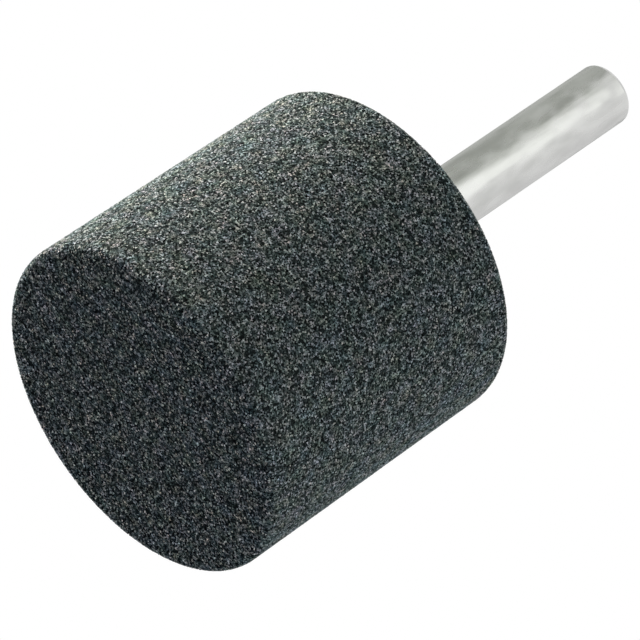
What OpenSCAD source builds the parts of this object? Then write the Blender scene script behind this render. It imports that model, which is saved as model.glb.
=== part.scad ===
// Mounted point: a cylindrical abrasive head moulded on a steel shank.
// It stands on its working face, with the shank pointing up.
// All sizes are in millimetres.

/* [Abrasive head] */
// Diameter of the head
head_d = 32; // [20:1:50]
// Length of the head, from its working face to its back face
head_len = 30; // [22:1:50]
// Radius that breaks the head's front and back rims
rim_r = 0.8; // [0.2:0.1:2]

/* [Shank] */
// Diameter of the shank, which is the collet size it fits
shank_d = 6; // [3:0.5:10]
// Length of bare shank behind the head
shank_out = 31; // [15:1:60]
// Chamfer round the free end of the shank
end_chamfer = 0.4; // [0.1:0.1:1]

/* [Grip] */
// Depth that the shank is set into the head
set_depth = 18; // [8:1:20]
// Step down from the bare shank to the tips of the teeth, which seats on the back face
grip_step = 0.1; // [0.05:0.05:0.3]
// Teeth cut along the part of the shank that is set into the head
grip_teeth = 24; // [12:1:36]
// Depth of those teeth
tooth_depth = 0.25; // [0.1:0.05:0.4]

/* [Hidden] */
head_r = head_d / 2;
shank_r = shank_d / 2;
tip_r = shank_r - grip_step;
root_r = tip_r - tooth_depth;
// Height of the shank's two ends above the working face
set_end_z = head_len - set_depth;
free_end_z = head_len + shank_out;
// Length that the toothed grip runs on past the back face, inside the bare shank
run_on = shank_r;
// Turn from one corner of the toothed grip to the next
corner_turn = 360 / (2 * grip_teeth);
head_colour = [0.27, 0.3, 0.3];
steel_colour = [0.76, 0.76, 0.74];
$fn = 96;

// Half section of the head: a rectangle whose two outer corners are rounded.
module head_section() {
    square([head_r - rim_r, head_len]);
    translate([0, rim_r]) square([head_r, head_len - 2 * rim_r]);
    for (z = [rim_r, head_len - rim_r])
        translate([head_r - rim_r, z]) circle(r = rim_r);
}

// The toothed length of the shank, which keys it into the head.
// The head is moulded round it, so the same solid also forms the head's socket.
module toothed_grip() {
    translate([0, 0, set_end_z])
        linear_extrude(set_depth + run_on)
            polygon([for (i = [0 : 2 * grip_teeth - 1])
                let (r = i % 2 == 0 ? tip_r : root_r)
                [r * cos(i * corner_turn), r * sin(i * corner_turn)]]);
}

// Half section of the bare shank, chamfered at its free end.
module bare_shank_section() {
    polygon([
        [0, head_len],
        [shank_r, head_len],
        [shank_r, free_end_z - end_chamfer],
        [shank_r - end_chamfer, free_end_z],
        [0, free_end_z]
    ]);
}

module abrasive_head() {
    color(head_colour)
        difference() {
            rotate_extrude() head_section();
            toothed_grip();
        }
}

module shank() {
    color(steel_colour) {
        toothed_grip();
        rotate_extrude() bare_shank_section();
    }
}

abrasive_head();
shank();
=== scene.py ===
# %% [markdown]
# # A mounted point, dressed for its picture
#
# A mounted point is a small grinding stone on a steel shank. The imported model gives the
# two plain solids: the abrasive head and the shank. This lesson gives them the look of
# the real thing. The head needs the most work, because bonded grit is rough all over:
# the grains stand out of the surface, so they are modelled and not only painted.

import math

import bpy
import numpy as np
from mathutils import Matrix, Vector


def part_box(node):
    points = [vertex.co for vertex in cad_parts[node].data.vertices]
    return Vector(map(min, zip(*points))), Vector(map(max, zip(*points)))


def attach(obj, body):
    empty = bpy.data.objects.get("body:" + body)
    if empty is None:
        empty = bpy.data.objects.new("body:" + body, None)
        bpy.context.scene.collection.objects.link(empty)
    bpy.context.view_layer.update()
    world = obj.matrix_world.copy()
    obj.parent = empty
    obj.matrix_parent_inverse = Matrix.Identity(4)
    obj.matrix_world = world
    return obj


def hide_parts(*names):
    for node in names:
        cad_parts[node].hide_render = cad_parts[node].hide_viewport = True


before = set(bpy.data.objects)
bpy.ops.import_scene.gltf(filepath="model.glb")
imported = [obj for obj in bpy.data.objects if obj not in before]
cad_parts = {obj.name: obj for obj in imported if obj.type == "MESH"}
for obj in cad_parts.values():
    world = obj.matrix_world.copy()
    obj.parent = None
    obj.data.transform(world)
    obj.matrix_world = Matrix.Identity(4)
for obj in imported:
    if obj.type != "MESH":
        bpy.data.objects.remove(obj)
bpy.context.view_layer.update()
mm = 0.001
print("nodes:", sorted(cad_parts))

# %% [markdown]
# ## Sizes
#
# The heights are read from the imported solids: the head's box gives its length, and the
# shank's box gives both of its ends. The two radii are written out, because the packed
# circles are made of short straight sides, and their boxes lie a hair off the round size.

# %% Read the sizes
head_r, shank_r = 16 * mm, 3 * mm
head_len = Vector(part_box("abrasive_head")[1]).z
set_end, free_end = (Vector(corner).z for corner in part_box("shank"))
print(f"head {head_r * 2 / mm:.1f} x {head_len / mm:.1f} mm, shank to {free_end / mm:.1f} mm")

# %% [markdown]
# ## The camera
#
# The picture was taken with a long lens, from in front of the working face and above.
# Three facts place such a camera: how far the shank leans away from the viewer, how far
# it is turned in the picture, and where the centre of the working face lies in front of
# the lens. The part stands on its working face in this scene, so the camera looks up
# from below the floor, and is rolled on its side.

# %% Place the camera
lean, turn = math.radians(33.63), math.radians(34.5)
face_seen_at = Vector((-15.55, -7.90, -426.09)) * mm
picture_width_px, focal_px = 640, 4997

shank_way = Vector(
    (math.cos(turn) * math.cos(lean), math.sin(turn) * math.cos(lean), -math.sin(lean))
)
picture_up = Vector((0, -shank_way.z, shank_way.y)).normalized()
front_way = -picture_up
seen_axes = Matrix((front_way.cross(shank_way), front_way, shank_way))

bpy.ops.object.camera_add()
camera = bpy.context.object
camera.name = "picture_camera"
camera.data.sensor_width = 36
camera.data.lens = focal_px * camera.data.sensor_width / picture_width_px
camera.data.clip_start = 0.01
camera.matrix_world = Matrix.Translation(-(seen_axes @ face_seen_at)) @ seen_axes.to_4x4()
bpy.context.scene.camera = camera
camera_at = [round(v / mm) for v in camera.location]
print("camera at", camera_at, "mm, lens", round(camera.data.lens), "mm")

# %% [markdown]
# ## Helpers for modelling
#
# Operators act on whatever is selected, so each step starts with nothing selected.
# `start_edit` opens one object and clears the selection, and `pick` selects the faces,
# edges or corners that pass a test, such as `at_height`.

# %% Selection helpers
same_height = 0.01 * mm


def only(piece):
    bpy.ops.object.select_all(action="DESELECT")
    piece.select_set(True)
    bpy.context.view_layer.objects.active = piece


def start_edit(piece, kind):
    only(piece)
    bpy.ops.object.mode_set(mode="EDIT")
    bpy.ops.mesh.select_mode(type=kind)
    bpy.ops.mesh.select_all(action="DESELECT")
    bpy.ops.object.mode_set(mode="OBJECT")


def pick(items, test):
    chosen = [item for item in items if test(item)]
    for item in chosen:
        item.select = True
    bpy.ops.object.mode_set(mode="EDIT")
    return len(chosen)


def at_height(mesh, z):
    def test(item):
        return all(abs(mesh.vertices[v].co.z - z) < same_height for v in item.vertices)

    return test


def triangles(piece):
    piece.data.calc_loop_triangles()
    return len(piece.data.loop_triangles)


bpy.ops.object.select_all(action="DESELECT")


# %% [markdown]
# ## The bond of the head
#
# The head is pressed in a mould as one cylinder: grains of grit in a dark bond, with the
# rims a little broken and a socket in the back for the shank. The bond is made first, as
# the bed that the grains lie in, so it stops a little short of the finished size. Its two
# rims are bevelled, the middle of its back face is inset to mark the socket's mouth, and
# two cuts part the side in three bands.

# %% Start the bond
bed_depth = 0.14 * mm
bond_sides = 192
bond_r = head_r - bed_depth
bond_ends = (bed_depth, head_len - bed_depth)
bpy.ops.mesh.primitive_cylinder_add(
    vertices=bond_sides,
    radius=bond_r,
    depth=bond_ends[1] - bond_ends[0],
    location=(0, 0, head_len / 2),
)
bond = bpy.context.object
bond.name = "head_bond"
bpy.ops.object.transform_apply(location=True, rotation=True, scale=True)
print("bond:", bond_sides, "sides,", round(bond_r / mm, 2), "mm radius")

# %% Break its rims and mark the mouth
rim_radius = 0.7 * mm
rim_steps = 5
start_edit(bond, "EDGE")
rims = pick(bond.data.edges, lambda e: any(at_height(bond.data, z)(e) for z in bond_ends))
bpy.ops.mesh.bevel(offset=rim_radius, segments=rim_steps, affect="EDGES")
bpy.ops.object.mode_set(mode="OBJECT")

start_edit(bond, "FACE")
pick(bond.data.polygons, at_height(bond.data, bond_ends[1]))
bpy.ops.mesh.inset(thickness=bond_r - rim_radius - shank_r)
bpy.ops.object.mode_set(mode="OBJECT")
print("rims:", rims, "edges bevelled")

# %% Part its side in bands
band_cuts = (head_len / 3, head_len * 2 / 3)
for cut in band_cuts:
    only(bond)
    bpy.ops.object.mode_set(mode="EDIT")
    bpy.ops.mesh.select_all(action="SELECT")
    bpy.ops.mesh.bisect(plane_co=(0, 0, cut), plane_no=(0, 0, 1))
    bpy.ops.object.mode_set(mode="OBJECT")
print("bond:", len(bond.data.polygons), "faces after", len(band_cuts), "cuts")

# %% [markdown]
# ## Skins to sow with grains
#
# A piece with too many triangles is hard to handle, so the grains are made in five
# pieces: the working face, three bands of the side, and the back face. A copy of the
# bond's skin, cut down to one of these and swollen to the depth of the grains' middles,
# carries each. The mouth carries none. It is pushed in afterwards, down to where the
# shank ends, and that makes the socket.

# %% Cut the skins
grain_depth = 0.085 * mm
flat_enough = 0.7
near_axis = 0.1 * mm


def is_flat(face, way):
    return face.normal.z * way > flat_enough


def is_mouth(face):
    many_sided = len(face.vertices) > 4
    return many_sided and is_flat(face, 1) and face.center.xy.length < near_axis


def skin(name, keep):
    copy = bond.copy()
    copy.data = bond.data.copy()
    copy.name = name
    bpy.context.collection.objects.link(copy)
    start_edit(copy, "FACE")
    pick(copy.data.polygons, lambda f: True)
    bpy.ops.transform.shrink_fatten(value=bed_depth - grain_depth)
    bpy.ops.mesh.select_all(action="DESELECT")
    bpy.ops.object.mode_set(mode="OBJECT")
    pick(copy.data.polygons, lambda f: not keep(f))
    bpy.ops.mesh.delete(type="FACE")
    bpy.ops.object.mode_set(mode="OBJECT")
    return copy


def on_side(low, high):
    return lambda f: not is_flat(f, 1) and not is_flat(f, -1) and low < f.center.z < high


grit_pieces = [
    skin("grit_face", lambda f: is_flat(f, -1)),
    skin("grit_side_1", on_side(0, band_cuts[0])),
    skin("grit_side_2", on_side(*band_cuts)),
    skin("grit_side_3", on_side(band_cuts[1], head_len)),
    skin("grit_back", lambda f: is_flat(f, 1) and not is_mouth(f)),
]
print("skins:", {piece.name: len(piece.data.polygons) for piece in grit_pieces})

# %% Push in the socket
start_edit(bond, "FACE")
pick(bond.data.polygons, is_mouth)
push_in = (0, 0, set_end - bond_ends[1])
bpy.ops.mesh.extrude_region_move(TRANSFORM_OT_translate={"value": push_in})
bpy.ops.object.mode_set(mode="OBJECT")
print("socket:", round(-push_in[2] / mm, 2), "mm deep")

# %% [markdown]
# ## One grain
#
# A grain of grit is a hard, flat chip with sharp corners. A cone with three sides makes
# its upper half, poking the base outwards makes the lower half, and the tip is pushed off
# the middle. A ball or a cube would look too even. Six sides are enough, because each
# copy is turned and stretched at random, and there will be a great many.

# %% Model a grain
grain_r, grain_half = 0.143 * mm, 0.045 * mm
tip_push = (-0.25 * grain_r, 0.2 * grain_r, 0)
bpy.ops.object.select_all(action="DESELECT")
bpy.ops.mesh.primitive_cone_add(
    vertices=3, radius1=grain_r, depth=grain_half, location=(0, 0, grain_half / 2)
)
crystal = bpy.context.object
crystal.name = "crystal"
bpy.ops.object.transform_apply(location=True, rotation=True, scale=True)
start_edit(crystal, "FACE")
pick(crystal.data.polygons, lambda f: f.normal.z < -0.9)
bpy.ops.mesh.poke(offset=grain_half)
bpy.ops.object.mode_set(mode="OBJECT")
start_edit(crystal, "VERT")
pick(crystal.data.vertices, lambda v: v.co.z > 0.5 * grain_half)
bpy.ops.transform.translate(value=tip_push)
bpy.ops.object.mode_set(mode="OBJECT")
corners_per_grain = len(crystal.data.vertices)
print("grain:", corners_per_grain, "corners,", triangles(crystal), "triangles")

# %% [markdown]
# ## Sowing the grains
#
# A Geometry Nodes modifier sows points over a skin, no two closer than a grain's pitch,
# sets a turned and stretched copy of the crystal on each, and gives each copy three
# random numbers that the finish reads later. Hair particles could scatter copies too, but
# they would let grains pile up. A small share of the points stays empty: those are the
# pores of the stone, and the working face has the most. Applying the modifier makes the
# copies one mesh. Every seed is fixed, so the same grains come back each time.

# %% Sow points
grain_pitch = 0.15 * mm
tries_per_grain = 8
sowing = bpy.data.node_groups.new("sow grains", "GeometryNodeTree")
sowing.interface.new_socket("Geometry", in_out="INPUT", socket_type="NodeSocketGeometry")
seed_socket = sowing.interface.new_socket("Seed", in_out="INPUT", socket_type="NodeSocketInt")
kept_socket = sowing.interface.new_socket("Kept", in_out="INPUT", socket_type="NodeSocketFloat")
sowing.interface.new_socket("Geometry", in_out="OUTPUT", socket_type="NodeSocketGeometry")
nodes, links = sowing.nodes, sowing.links
skin_in, grains_out = nodes.new("NodeGroupInput"), nodes.new("NodeGroupOutput")

points = nodes.new("GeometryNodeDistributePointsOnFaces")
points.distribute_method = "POISSON"
points.inputs["Distance Min"].default_value = grain_pitch
points.inputs["Density Max"].default_value = tries_per_grain / grain_pitch**2
links.new(skin_in.outputs["Geometry"], points.inputs["Mesh"])
links.new(skin_in.outputs["Seed"], points.inputs["Seed"])
print("points lie", round(grain_pitch / mm, 2), "mm apart or more")


# %% Give each point its numbers
def random_vector(low, high, seed):
    node = nodes.new("FunctionNodeRandomValue")
    node.data_type = "FLOAT_VECTOR"
    node.inputs["Min"].default_value = low
    node.inputs["Max"].default_value = high
    node.inputs["Seed"].default_value = seed
    return node.outputs["Value"]


numbered = nodes.new("GeometryNodeStoreNamedAttribute")
numbered.data_type = "FLOAT_VECTOR"
numbered.domain = "POINT"
numbered.inputs["Name"].default_value = "grain_dice"
links.new(points.outputs["Points"], numbered.inputs["Geometry"])
links.new(random_vector((0, 0, 0), (1, 1, 1), seed=1), numbered.inputs["Value"])
print("numbers kept as", numbered.inputs["Name"].default_value)

# %% Set a crystal on each point
tilt = 0.25
smallest, largest = 0.7, 1.25
copies = nodes.new("GeometryNodeInstanceOnPoints")
crystal_in = nodes.new("GeometryNodeObjectInfo")
crystal_in.inputs["Object"].default_value = crystal
links.new(numbered.outputs["Geometry"], copies.inputs["Points"])
links.new(crystal_in.outputs["Geometry"], copies.inputs["Instance"])
turned = nodes.new("FunctionNodeRotateRotation")
turned.rotation_space = "LOCAL"
links.new(points.outputs["Rotation"], turned.inputs["Rotation"])
any_turn = random_vector((-tilt, -tilt, 0), (tilt, tilt, math.tau), seed=2)
links.new(any_turn, turned.inputs["Rotate By"])
links.new(turned.outputs["Rotation"], copies.inputs["Rotation"])
any_size = random_vector((smallest,) * 3, (largest,) * 3, seed=3)
links.new(any_size, copies.inputs["Scale"])
kept = nodes.new("FunctionNodeRandomValue")
kept.data_type = "BOOLEAN"
kept.inputs["Seed"].default_value = 4
links.new(skin_in.outputs["Kept"], kept.inputs["Probability"])
links.new(kept.outputs[3], copies.inputs["Selection"])
as_mesh = nodes.new("GeometryNodeRealizeInstances")
links.new(copies.outputs["Instances"], as_mesh.inputs["Geometry"])
links.new(as_mesh.outputs["Geometry"], grains_out.inputs["Geometry"])
print("sowing modifier:", len(nodes), "nodes")

# %% Sow the skins
kept_on_face, kept_elsewhere = 0.9, 0.945
for number, piece in enumerate(grit_pieces):
    only(piece)
    sow = piece.modifiers.new("grains", "NODES")
    sow.node_group = sowing
    sow[seed_socket.identifier] = number
    on_face = piece.name == "grit_face"
    sow[kept_socket.identifier] = kept_on_face if on_face else kept_elsewhere
    bpy.ops.object.modifier_apply(modifier=sow.name)
    print(piece.name, triangles(piece), "triangles")
bpy.data.objects.remove(crystal)

# %% [markdown]
# ## Stirring the mix
#
# The first of the three numbers sets how pale a grain is. Left to chance, the pale grains
# would gather in clouds, but a real batch is stirred well before it is pressed. So the
# numbers are dealt again: in each small cell of the head the grains are put in order, and
# spread evenly from the darkest to the palest.

# %% Stir the grains
cell_size = 2 * mm
cell_digits = (10000, 100, 1)
for piece in grit_pieces:
    corners = np.empty(3 * len(piece.data.vertices), np.float32)
    piece.data.vertices.foreach_get("co", corners)
    middles = corners.reshape(-1, corners_per_grain, 3).mean(axis=1)
    cell = np.floor(middles / cell_size) @ cell_digits
    numbers = np.empty_like(corners)
    piece.data.attributes["grain_dice"].data.foreach_get("vector", numbers)
    numbers = numbers.reshape(-1, corners_per_grain, 3)
    order = np.lexsort((numbers[:, 0, 0], cell))
    _, first, count = np.unique(cell[order], return_index=True, return_counts=True)
    place_in_cell = np.arange(len(order)) - np.repeat(first, count)
    numbers[order, :, 0] = ((place_in_cell + 0.5) / np.repeat(count, count))[:, None]
    piece.data.attributes["grain_dice"].data.foreach_set("vector", numbers.ravel())
    print(piece.name, "stirred in", len(count), "cells")

# %% [markdown]
# ## A map for the grains
#
# When the part is exported, its finish is painted into an image, and every flat side of
# every grain needs a place of its own there. Blender's own unwrap would take long and
# waste most of the image on margins, so the places are counted out here instead: a grid
# of small squares, each cut corner to corner into two triangles.

# %% Lay out the map
near, far = 0.06, 0.86
lower = np.array([(near, near), (far, near), (near, far)])
for piece in grit_pieces:
    sides = len(piece.data.polygons)
    row = math.ceil(math.sqrt(sides / 2))
    number = np.arange(sides)
    square = np.stack([number // 2 % row, number // 2 // row], axis=1)
    corner = np.where((number % 2 == 0)[:, None, None], lower, 1 - lower)
    bake_map = piece.data.uv_layers.new(name="OFBake")
    spots = (square[:, None, :] + corner) / row
    bake_map.data.foreach_set("uv", spots.ravel().astype(np.float32))
    print(piece.name, "has", sides, "sides in", row, "x", row, "squares")

# %% [markdown]
# ## Helpers for finishes
#
# A finish is a small network of nodes. These helpers start one, add a node with a label
# that says what it is for, and set up a colour ramp from a list of stops.


# %% Node helpers
def new_material(name):
    material = bpy.data.materials.new(name)
    material.use_nodes = True
    return material, material.node_tree.nodes, material.node_tree.links


def add_node(tree_nodes, kind, label, **settings):
    node = tree_nodes.new("ShaderNode" + kind)
    node.label = label
    for key, value in settings.items():
        setattr(node, key, value)
    return node


def ramp(tree_nodes, label, stops, interpolation="LINEAR"):
    node = add_node(tree_nodes, "ValToRGB", label)
    node.color_ramp.interpolation = interpolation
    elements = node.color_ramp.elements
    while len(elements) < len(stops):
        elements.new(0.5)
    for element, (place, colour) in zip(elements, stops):
        element.position = place
        element.color = (*colour, 1.0)
    return node


# %% [markdown]
# ## The finish of bonded grit
#
# Each grain has a tone of its own: most are dark grey-green, some are paler, and a few
# are brown or nearly white. A noise texture would run across the edges of the grains, so
# the random numbers that each grain carries pick its tone, its tint and its shine. Patches
# of about a millimetre shift the tint, and a fine bump chips the flat sides. Grit is matt,
# so the finish has no mirror shine.

# %% Give each grain a tone
grit, nodes, links = new_material("bonded_grit")
shader = nodes["Principled BSDF"]
shader.inputs["Specular IOR Level"].default_value = 0.0
own = add_node(nodes, "Attribute", "random numbers of a grain", attribute_name="grain_dice")
dice = add_node(nodes, "SeparateXYZ", "one by one")
links.new(own.outputs["Vector"], dice.inputs[0])
tone = ramp(
    nodes,
    "tone of a grain",
    [
        (0.0, (0.009, 0.013, 0.0135)),
        (0.25, (0.051, 0.07, 0.071)),
        (0.5, (0.122, 0.154, 0.151)),
        (0.75, (0.238, 0.274, 0.263)),
        (0.93, (0.43, 0.46, 0.437)),
        (1.0, (0.88, 0.91, 0.86)),
    ],
)
links.new(dice.outputs["X"], tone.inputs[0])
print("tones:", len(tone.color_ramp.elements))

# %% Give each grain a tint
tint = ramp(
    nodes,
    "tint of a grain",
    [
        (0.0, (0.95, 1.0, 1.03)),
        (0.45, (1.0, 1.0, 1.0)),
        (0.7, (0.93, 1.0, 1.06)),
        (0.88, (1.02, 1.0, 0.98)),
        (0.96, (1.06, 1.0, 0.96)),
        (1.0, (1.12, 1.0, 0.91)),
    ],
)
links.new(dice.outputs["Y"], tint.inputs[0])
coloured = add_node(nodes, "Mix", "tone and tint", data_type="RGBA", blend_type="MULTIPLY")
coloured.inputs["Factor"].default_value = 1.0
links.new(tone.outputs["Color"], coloured.inputs["A"])
links.new(tint.outputs["Color"], coloured.inputs["B"])
print("tints:", len(tint.color_ramp.elements))

# %% Shift the tint in patches
place = add_node(nodes, "TexCoord", "place in the head")
patch = add_node(nodes, "TexNoise", "patches of another tint")
patch.inputs["Scale"].default_value = 700
patch.inputs["Detail"].default_value = 2
links.new(place.outputs["Object"], patch.inputs["Vector"])
faint = add_node(nodes, "VectorMath", "made faint", operation="MULTIPLY_ADD")
faint.inputs[1].default_value = (0.55, 0.0, 0.55)
faint.inputs[2].default_value = (0.725, 1.0, 0.725)
links.new(patch.outputs["Color"], faint.inputs[0])
patched = add_node(nodes, "Mix", "colour and patches", data_type="RGBA", blend_type="MULTIPLY")
patched.inputs["Factor"].default_value = 1.0
links.new(coloured.outputs["Result"], patched.inputs["A"])
links.new(faint.outputs["Vector"], patched.inputs["B"])
links.new(patched.outputs["Result"], shader.inputs["Base Color"])
print("patches:", round(1 / patch.inputs["Scale"].default_value / mm, 1), "mm")

# %% Add the shine and the chipped sides
shine = add_node(nodes, "MapRange", "shine of a grain")
shine.inputs["To Min"].default_value = 0.35
shine.inputs["To Max"].default_value = 0.8
links.new(dice.outputs["Z"], shine.inputs["Value"])
links.new(shine.outputs["Result"], shader.inputs["Roughness"])
chips = add_node(nodes, "TexNoise", "chipped sides")
chips.inputs["Scale"].default_value = 9000
chips.inputs["Detail"].default_value = 2
links.new(place.outputs["Object"], chips.inputs["Vector"])
chipped = add_node(nodes, "Bump", "chipped sides")
chipped.inputs["Strength"].default_value = 0.5
chipped.inputs["Distance"].default_value = 0.03 * mm
links.new(chips.outputs["Fac"], chipped.inputs["Height"])
links.new(chipped.outputs["Normal"], shader.inputs["Normal"])
print("grit finish:", len(nodes), "nodes")

# %% [markdown]
# ## Dust on the moulded sides
#
# The working face is dressed clean, but the side and the back keep a film of dust from
# the mould. It evens out the grains' tints, dulls the palest ones and shows as a faint
# sheen where the surface turns away. So they get a copy of the finish, with the dust.

# %% Dust the sides
dusty_grit = grit.copy()
dusty_grit.name = "dusty_grit"
dusty_nodes = dusty_grit.node_tree.nodes
dusty_shader = dusty_nodes["Principled BSDF"]
dusty_shader.inputs["Sheen Weight"].default_value = 0.13
dusty_shader.inputs["Sheen Roughness"].default_value = 0.4
dusty_nodes[coloured.name].inputs["Factor"].default_value = 0.6
dusty_tones = [
    (0.009, 0.013, 0.012),
    (0.051, 0.07, 0.0665),
    (0.122, 0.154, 0.1445),
    (0.24, 0.275, 0.261),
    (0.39, 0.418, 0.407),
    (0.6, 0.626, 0.614),
]
for element, colour in zip(dusty_nodes[tone.name].color_ramp.elements, dusty_tones):
    element.color = (*colour, 1.0)
for piece in grit_pieces:
    piece.data.materials.clear()
    piece.data.materials.append(grit if piece.name == "grit_face" else dusty_grit)
    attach(piece, "root")
print("finishes:", {piece.name: piece.data.materials[0].name for piece in grit_pieces})

# %% [markdown]
# ## The bond's finish, with painted shade in the pores
#
# The bond shows only in the pores, as an almost black and dull ground. That near-black is
# partly the bond's own dark tone and partly painted shade, standing in for the depth of the
# pores. Fine noise gives it dusty specks and pits.

# %% Make the bond's finish and its painted pore shade
bond_finish_with_pore_shade, nodes, links = new_material("dark_bond_with_painted_pore_shade")
shader = nodes["Principled BSDF"]
shader.inputs["Specular IOR Level"].default_value = 0.0
place = add_node(nodes, "TexCoord", "place in the head")
dust = add_node(nodes, "TexNoise", "fine dust in the bond")
dust.inputs["Scale"].default_value = 3500
dust.inputs["Detail"].default_value = 2
links.new(place.outputs["Object"], dust.inputs["Vector"])
# Near-black: the bond's own dark tone plus painted shade for the pores.
bond_tone_with_pore_shade = ramp(nodes, "bond", [(0.35, (0.005, 0.006, 0.006)), (0.65, (0.02, 0.024, 0.024))])
links.new(dust.outputs["Fac"], bond_tone_with_pore_shade.inputs[0])
links.new(bond_tone_with_pore_shade.outputs["Color"], shader.inputs["Base Color"])
dull = add_node(nodes, "MapRange", "dull to half dull")
dull.inputs["To Min"].default_value = 0.7
dull.inputs["To Max"].default_value = 0.95
links.new(dust.outputs["Fac"], dull.inputs["Value"])
links.new(dull.outputs["Result"], shader.inputs["Roughness"])
pits = add_node(nodes, "Bump", "pits in the bond")
pits.inputs["Strength"].default_value = 0.6
pits.inputs["Distance"].default_value = 0.1 * mm
links.new(dust.outputs["Fac"], pits.inputs["Height"])
links.new(pits.outputs["Normal"], shader.inputs["Normal"])
bond.data.materials.append(bond_finish_with_pore_shade)
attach(bond, "root")
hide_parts("abrasive_head")
print("bond finish:", len(nodes), "nodes")

# %% [markdown]
# ## The shank
#
# The shank is a length of drawn rod with a small edge break at its free end, and with
# teeth on the length that is set into the head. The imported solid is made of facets, which
# would show as stripes in polished steel, so a rounder rod is modelled in its place: a
# cylinder whose end is bevelled, and a second one whose every other edge is drawn in to
# form the teeth. The toothed one runs on a little way inside the rod, and a Boolean union
# makes the two one closed skin.

# %% Model the rod
rod_sides = 128
end_break, break_steps = 0.4 * mm, 4
bpy.ops.object.select_all(action="DESELECT")
bpy.ops.mesh.primitive_cylinder_add(
    vertices=rod_sides,
    radius=shank_r,
    depth=free_end - head_len,
    location=(0, 0, (free_end + head_len) / 2),
)
shank = bpy.context.object
shank.name = "shank_rod"
bpy.ops.object.transform_apply(location=True, rotation=True, scale=True)
start_edit(shank, "EDGE")
pick(shank.data.edges, at_height(shank.data, free_end))
bpy.ops.mesh.bevel(offset=end_break, segments=break_steps, affect="EDGES")
bpy.ops.object.mode_set(mode="OBJECT")
print("rod:", triangles(shank), "triangles")

# %% Model the toothed grip and join it
teeth, tip_r, root_r = 24, 2.9 * mm, 2.65 * mm
run_on = 1 * mm
smooth_below = math.radians(30)
grip_top = head_len + run_on
bpy.ops.object.select_all(action="DESELECT")
bpy.ops.mesh.primitive_cylinder_add(
    vertices=2 * teeth,
    radius=tip_r,
    depth=grip_top - set_end,
    location=(0, 0, (grip_top + set_end) / 2),
)
grip = bpy.context.object
bpy.ops.object.transform_apply(location=True, rotation=True, scale=True)
start_edit(grip, "VERT")
corner_turn = math.pi / teeth
pick(grip.data.vertices, lambda v: round(math.atan2(v.co.y, v.co.x) / corner_turn) % 2 == 1)
drawn_in = root_r / tip_r
bpy.ops.transform.resize(value=(drawn_in, drawn_in, 1), center_override=(0, 0, 0))
bpy.ops.object.mode_set(mode="OBJECT")

only(shank)
joined = shank.modifiers.new("joined to the grip", "BOOLEAN")
joined.operation = "UNION"
joined.object = grip
bpy.ops.object.modifier_apply(modifier=joined.name)
bpy.data.objects.remove(grip)
bpy.ops.object.shade_smooth_by_angle(angle=smooth_below)
print("shank:", triangles(shank), "triangles")

# %% [markdown]
# ## The steel
#
# Drawn steel has a satin shine. It isn't quite even: soft blotches make it duller here and
# there, slow waves in the surface bend what it mirrors, and faint streaks follow the way
# it was drawn. All three are noise, stretched along the rod: that needs no image, and it
# fits a rod of any length.

# %% Start the steel
steel, nodes, links = new_material("satin_steel")
shader = nodes["Principled BSDF"]
shader.inputs["Metallic"].default_value = 1.0
place = add_node(nodes, "TexCoord", "place on the shank")


def along_the_rod(label, scale, stretch):
    longer = add_node(nodes, "Mapping", label)
    longer.inputs["Scale"].default_value = (1, 1, 1 / stretch)
    links.new(place.outputs["Object"], longer.inputs["Vector"])
    noise = add_node(nodes, "TexNoise", label)
    noise.inputs["Scale"].default_value = scale
    noise.inputs["Detail"].default_value = 1.5
    links.new(longer.outputs["Vector"], noise.inputs["Vector"])
    return noise.outputs["Fac"]


# %% Blotch its tone and shine
smoothest, roughest = 0.15, 0.36
blotch = along_the_rod("soft blotches", scale=750, stretch=2.5)
steel_tone = ramp(nodes, "steel", [(0.3, (0.555, 0.557, 0.547)), (0.7, (0.675, 0.677, 0.667))])
links.new(blotch, steel_tone.inputs[0])
links.new(steel_tone.outputs["Color"], shader.inputs["Base Color"])
satin = add_node(nodes, "MapRange", "satin")
satin.inputs["From Min"].default_value = 0.3
satin.inputs["From Max"].default_value = 0.7
satin.inputs["To Min"].default_value = smoothest
satin.inputs["To Max"].default_value = roughest
links.new(blotch, satin.inputs["Value"])
links.new(satin.outputs["Result"], shader.inputs["Roughness"])
print("blotches: roughness", smoothest, "to", roughest)

# %% Add waves and streaks
waves = add_node(nodes, "Bump", "slow waves")
waves.inputs["Distance"].default_value = 0.35 * mm
links.new(along_the_rod("slow waves", scale=350, stretch=2), waves.inputs["Height"])
streaks = add_node(nodes, "Bump", "drawing streaks")
streaks.inputs["Distance"].default_value = 0.012 * mm
links.new(along_the_rod("drawing streaks", scale=2500, stretch=20), streaks.inputs["Height"])
links.new(waves.outputs["Normal"], streaks.inputs["Normal"])
links.new(streaks.outputs["Normal"], shader.inputs["Normal"])

shank.data.materials.append(steel)
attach(shank, "root")
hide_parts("shank")
print("steel finish:", len(nodes), "nodes")

# %% [markdown]
# ## The floor
#
# The floor is a pale plane just under the part. The picture's camera looks up through
# it, so the plane shows only to rays that come from above, and lets all others through.
# Away from the part it fades into the white background, so no edge or horizon shows.

# %% Lay the floor
floor_size, floor_drop = 3, 0.05 * mm
bpy.ops.mesh.primitive_plane_add(size=floor_size, location=(0, 0, -floor_drop))
floor = bpy.context.object
floor.name = "floor"
pale, nodes, links = new_material("pale_floor")
shader = nodes["Principled BSDF"]
shader.inputs["Base Color"].default_value = (0.8, 0.8, 0.8, 1)
shader.inputs["Roughness"].default_value = 0.9
print("floor:", floor_size, "m across")

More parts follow.
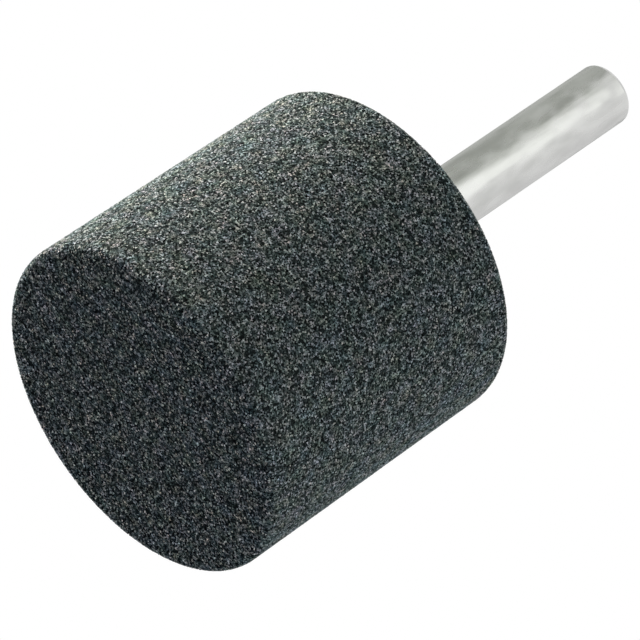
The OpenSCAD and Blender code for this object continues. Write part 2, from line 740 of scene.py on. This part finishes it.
# %% Show it from above only, and fade it
fade_start, fade_end = 0.05, 0.3
side = add_node(nodes, "NewGeometry", "which side is seen")
ray_kind = add_node(nodes, "LightPath", "kind of ray")
from_above = add_node(nodes, "Math", "seen from above", operation="SUBTRACT", use_clamp=True)
links.new(ray_kind.outputs["Is Camera Ray"], from_above.inputs[0])
links.new(side.outputs["Backfacing"], from_above.inputs[1])
spot = add_node(nodes, "TexCoord", "spot on the floor")
distance = add_node(nodes, "VectorMath", "how far from the part", operation="LENGTH")
links.new(spot.outputs["Object"], distance.inputs[0])
fade = add_node(nodes, "MapRange", "fades into the background", interpolation_type="SMOOTHSTEP")
fade.inputs["From Min"].default_value = fade_start
fade.inputs["From Max"].default_value = fade_end
fade.inputs["To Min"].default_value = 1
fade.inputs["To Max"].default_value = 0
links.new(distance.outputs["Value"], fade.inputs["Value"])
shown = add_node(nodes, "Math", "near, and seen from above", operation="MULTIPLY")
links.new(from_above.outputs[0], shown.inputs[0])
links.new(fade.outputs["Result"], shown.inputs[1])
clear = add_node(nodes, "BsdfTransparent", "lets the ray through")
one_way = add_node(nodes, "MixShader", "one-way floor")
links.new(shown.outputs[0], one_way.inputs[0])
links.new(clear.outputs[0], one_way.inputs[1])
links.new(shader.outputs[0], one_way.inputs[2])
links.new(one_way.outputs[0], nodes["Material Output"].inputs["Surface"])
floor.data.materials.append(pale)
print("floor fades out from", fade_start, "to", fade_end, "m")

# %% [markdown]
# ## The background and its soft light
#
# The background is plain white wherever it is seen, straight or mirrored. The light that
# it sheds is another matter: in a room it is strongest from above and from the side of
# the window, and weaker and bluer from below.

# %% Shed soft light
world = bpy.data.worlds.new("studio")
world.use_nodes = True
bpy.context.scene.world = world
nodes, links = world.node_tree.nodes, world.node_tree.links
soft = nodes["Background"]
soft.label = "soft light"
way = add_node(nodes, "TexCoord", "way of the ray")
window_way = (-0.3, -0.12, 0.95)
facing = add_node(nodes, "VectorMath", "comes from the window", operation="DOT_PRODUCT")
facing.inputs[1].default_value = window_way
links.new(way.outputs["Generated"], facing.inputs[0])
share = add_node(nodes, "MapRange", "from below to the window")
share.inputs["From Min"].default_value = -0.4
share.inputs["From Max"].default_value = 0.4
links.new(facing.outputs["Value"], share.inputs["Value"])
below, window = (0.022, 0.022, 0.062), (0.336, 0.336, 0.318)
sky = ramp(nodes, "weaker and bluer from below", [(0.0, below), (1.0, window)])
links.new(share.outputs["Result"], sky.inputs[0])
links.new(sky.outputs["Color"], soft.inputs["Color"])
print("soft light:", below, "to", window)

# %% Show white
white = add_node(nodes, "Background", "white background")
white.inputs["Color"].default_value = (1, 1, 1, 1)
ray_kind = add_node(nodes, "LightPath", "kind of ray")
seen = add_node(nodes, "Math", "seen straight or mirrored", operation="MAXIMUM")
links.new(ray_kind.outputs["Is Camera Ray"], seen.inputs[0])
links.new(ray_kind.outputs["Is Glossy Ray"], seen.inputs[1])
through = add_node(nodes, "Math", "or seen through glass", operation="MAXIMUM")
links.new(seen.outputs[0], through.inputs[0])
links.new(ray_kind.outputs["Is Transmission Ray"], through.inputs[1])
backdrop = add_node(nodes, "MixShader", "light or background")
links.new(through.outputs[0], backdrop.inputs[0])
links.new(soft.outputs[0], backdrop.inputs[1])
links.new(white.outputs[0], backdrop.inputs[2])
links.new(backdrop.outputs[0], nodes["World Output"].inputs["Surface"])
print("background:", len(nodes), "nodes")

# %% [markdown]
# ## Glowing cloth round the shank: a painted reflection
#
# Polished metal in an all-white room looks flat, because it shows only what it mirrors.
# A photographer hangs cloth round it, out of the picture, dark on one side and bright on
# another. Here that cloth is two rings that glow by themselves, brighter than white in
# places, and only mirror rays see them: they are a painted reflection for the steel, and
# their glow changes with the way round. The gap between them is what the shank's end
# mirrors in the views from above, so that the end isn't burnt out by the brightest glow.

# %% Set the cloth's glow, a painted reflection
glowing_cloth_finish, nodes, links = new_material("glowing_cloth_painted_reflection")
place = add_node(nodes, "TexCoord", "place on the cloth")
way_round = add_node(nodes, "TexGradient", "way round", gradient_type="RADIAL")
links.new(place.outputs["Object"], way_round.inputs["Vector"])
brightest = 1.6
# How brightly the cloth glows, and how blue, at each way round: this is the painted reflection
# that the steel shows.
glow_and_blue_by_degree = {
    -171: (0.5, 0.93),
    -141: (0.5, 0.92),
    -101: (0.5, 0.92),
    -88: (0.6, 0.92),
    -70: (0.95, 0.95),
    -51: (1.43, 0.97),
    -38: (1.55, 0.97),
    -26: (1.35, 0.98),
    -12: (1.0, 0.99),
    60: (0.9, 1.0),
    100: (0.78, 1.0),
    125: (0.5, 0.97),
    160: (0.62, 0.95),
}


def cloth_glow_stop(degrees, strength, blue):
    red = 0.5 * (1 + blue)
    colour = (red * strength / brightest, strength / brightest, blue * strength / brightest)
    return (degrees + 180) / 360, colour


cloth_glow_stops = [cloth_glow_stop(degrees, *pair) for degrees, pair in glow_and_blue_by_degree.items()]
cloth_glow_tone = ramp(nodes, "cloth", cloth_glow_stops)
links.new(way_round.outputs["Color"], cloth_glow_tone.inputs[0])
# The cloth glows by itself, brighter than white in places: it is no lamp, only a painted
# reflection for the steel.
glow = add_node(nodes, "Emission", "self-glowing cloth")
glow.inputs["Strength"].default_value = brightest
links.new(cloth_glow_tone.outputs["Color"], glow.inputs["Color"])
links.new(glow.outputs[0], nodes["Material Output"].inputs["Surface"])
print("cloth:", len(cloth_glow_stops), "tones")

# %% Hang the cloth
cloth_r, cloth_sides = 0.3, 72
glowing_cloth_rings = {"cloth_low": (-0.4, 0.1), "cloth_high": (0.17, 0.4)}
for name, (low, high) in glowing_cloth_rings.items():
    bpy.ops.object.select_all(action="DESELECT")
    bpy.ops.mesh.primitive_cylinder_add(
        vertices=cloth_sides,
        radius=cloth_r,
        depth=high - low,
        end_fill_type="NOTHING",
        location=(0, 0, (low + high) / 2),
    )
    cloth = bpy.context.object
    cloth.name = name
    cloth.data.materials.append(glowing_cloth_finish)
    for ray in ("camera", "diffuse", "transmission", "volume_scatter", "shadow"):
        setattr(cloth, "visible_" + ray, False)
    print(name, "hangs from", high, "down to", low, "m")

# %% [markdown]
# ## Lamps
#
# Three soft round lamps aim at the middle of the head. The key is the window: low, broad
# and a little warm, and it lights one flank of the head. The fill is a weak, cool lamp
# that rakes the working face from just below, so that its grains stand out. The overhead
# lamp lifts the back face and softens the shadow on the floor. The lamps don't show in the
# picture or in the steel. The Standard view keeps the colours as they are set.


# %% Place the lamps
def lamp(name, turn, rise, distance, size, power, colour=(1, 1, 1)):
    turn, rise = math.radians(turn), math.radians(rise)
    flat = math.cos(rise)
    way = Vector((math.cos(turn) * flat, math.sin(turn) * flat, math.sin(rise)))
    aim = Vector((0, 0, head_len / 2))
    bpy.ops.object.light_add(type="AREA", location=way * distance + aim)
    light = bpy.context.object
    light.name = name
    light.data.shape = "DISK"
    light.data.size = size
    light.data.energy = power
    light.data.color = colour
    light.rotation_euler = way.to_track_quat("Z", "Y").to_euler()
    light.visible_camera = False
    light.visible_glossy = False
    print(name, "lamp:", power, "W,", distance, "m away")


warm, cool = (1, 0.955, 0.91), (0.93, 0.96, 0.98)
lamp("key", turn=-157, rise=7, distance=0.5, size=0.6, power=11.4, colour=warm)
lamp("fill", turn=7, rise=-13, distance=0.6, size=0.2, power=2.0, colour=cool)
lamp("overhead", turn=-60, rise=75, distance=0.6, size=0.4, power=0.8)
bpy.context.scene.view_settings.view_transform = "Standard"
